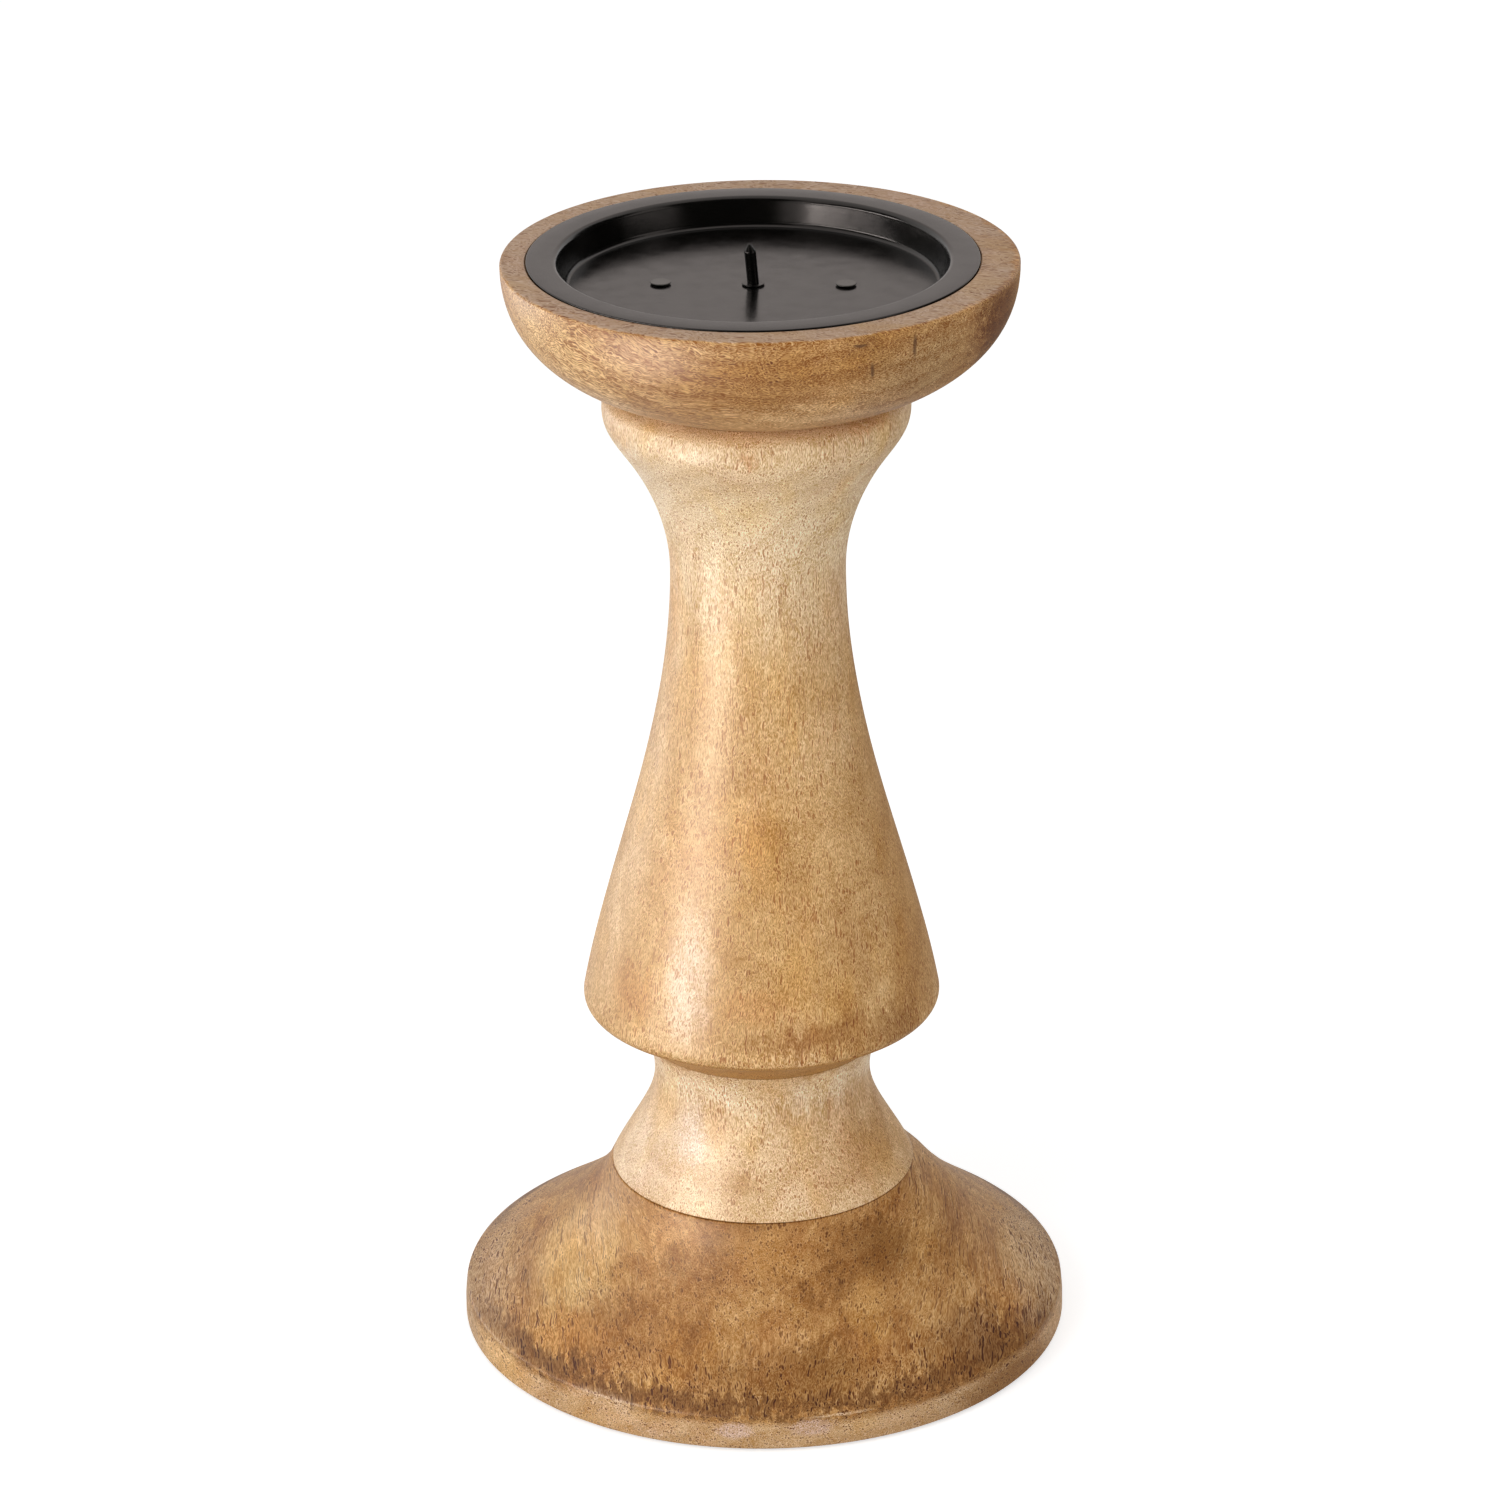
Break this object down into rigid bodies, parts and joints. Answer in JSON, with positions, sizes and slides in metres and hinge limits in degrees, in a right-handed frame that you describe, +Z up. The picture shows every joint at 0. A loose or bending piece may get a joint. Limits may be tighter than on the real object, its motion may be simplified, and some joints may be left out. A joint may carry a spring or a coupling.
{
  "type": "candlestick",
  "caption": "Turned wooden candlestick with a round foot, waisted neck, bell-shaped stem and a bowl holding a black steel plate with a spike for a pillar candle.",
  "frame": {"origin": "on the table, under the axis of the stem, level with the undersides of the felt pads", "axes": "+Z up along the stem, +X to the right as seen in the picture, +Y away from the viewer"},
  "size_m": [0.1578, 0.1578, 0.2941],
  "materials": {
    "foot_wood": "satin lacquer",
    "neck_wood": "satin lacquer",
    "stem_wood": "satin lacquer",
    "bowl_wood": "satin lacquer",
    "black_steel": "satin black powder coat",
    "spike_steel": "black, rough",
    "tack_steel": "satin black",
    "zinc_steel": "bright zinc plate",
    "brown_felt": "pressed felt"
  },
  "bodies": {
    "root": {"foot": "foot_wood", "neck": "neck_wood", "stem": "stem_wood", "bowl": "bowl_wood", "candle_plate": "black_steel", "candle_spike": "spike_steel", "plate_tack_left": "tack_steel", "plate_tack_right": "tack_steel", "foot_screw": "zinc_steel", "bowl_screw": "zinc_steel", "foot_washer": "zinc_steel", "bowl_washer": "zinc_steel", "foot_pad_1": "brown_felt", "foot_pad_2": "brown_felt", "foot_pad_3": "brown_felt", "foot_pad_4": "brown_felt"}
  },
  "joints": []
}
